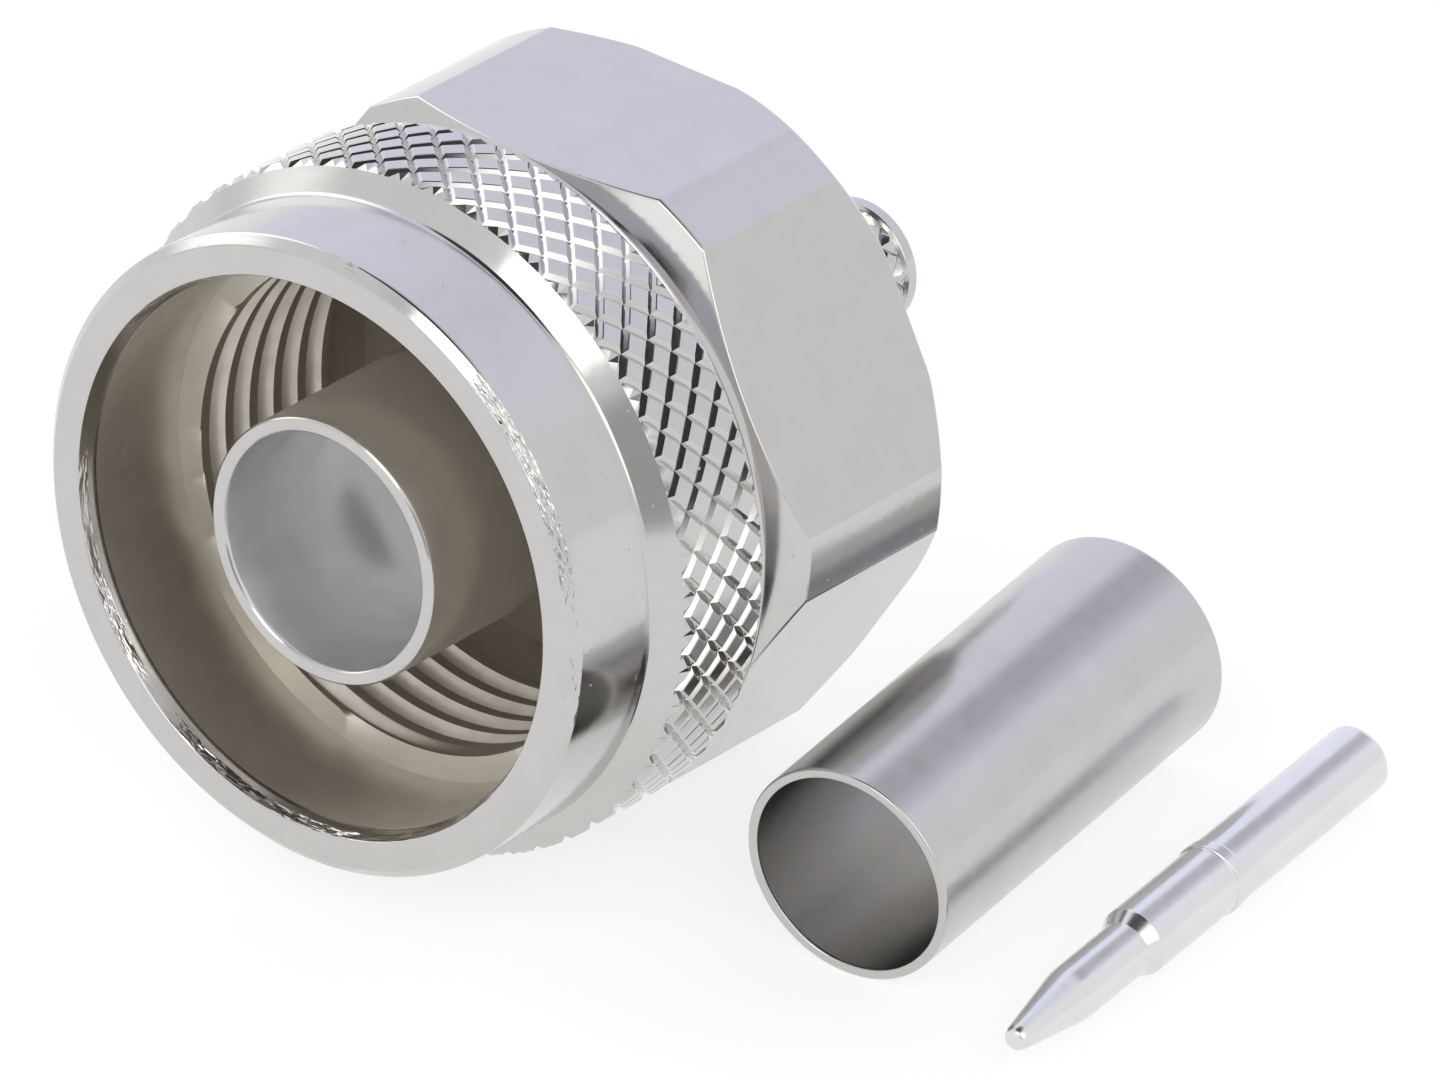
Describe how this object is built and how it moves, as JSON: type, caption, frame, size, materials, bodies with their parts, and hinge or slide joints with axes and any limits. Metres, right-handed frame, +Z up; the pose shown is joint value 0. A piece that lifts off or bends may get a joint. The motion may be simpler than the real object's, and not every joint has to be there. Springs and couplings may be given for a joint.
{
  "type": "n-type coaxial plug",
  "caption": "Coaxial crimp plug with a knurled hexagon coupling nut lying on its side, with its loose crimp ferrule and centre contact beside it.",
  "frame": {"origin": "middle of the set's footprint on the table, at the lowest points of the nut, ferrule and contact", "axes": "+Z up from the table, mating end of the plug towards -Y with the cable end towards +Y and dipping about 6 degrees, loose pieces on the +X side"},
  "size_m": [0.0322, 0.0258, 0.0209],
  "materials": {
    "nickel_nut": "bright nickel plating",
    "nickel_contact": "bright nickel plating",
    "nickel_body": "bright nickel plating",
    "nickel_ferrule": "satin nickel plating",
    "nickel_pin": "bright nickel plating",
    "spring_steel": "spring steel",
    "bead_plastic": "white fluoroplastic",
    "gasket_rubber": "silicone rubber"
  },
  "bodies": {
    "plug": {"body": "nickel_body", "outer_contact": "nickel_contact", "insulator": "bead_plastic", "gasket": "gasket_rubber", "snap_ring": "spring_steel", "crimp_ferrule": "nickel_ferrule", "centre_contact": "nickel_pin"},
    "nut": {"coupling_nut": "nickel_nut"}
  },
  "joints": [
    {"name": "nut_spin", "type": "hinge", "parent": "plug", "child": "nut", "pos_m": [-0.00564, -0.01205, 0.011], "axis": [0, 0.9952, -0.0976], "continuous": true}
  ]
}
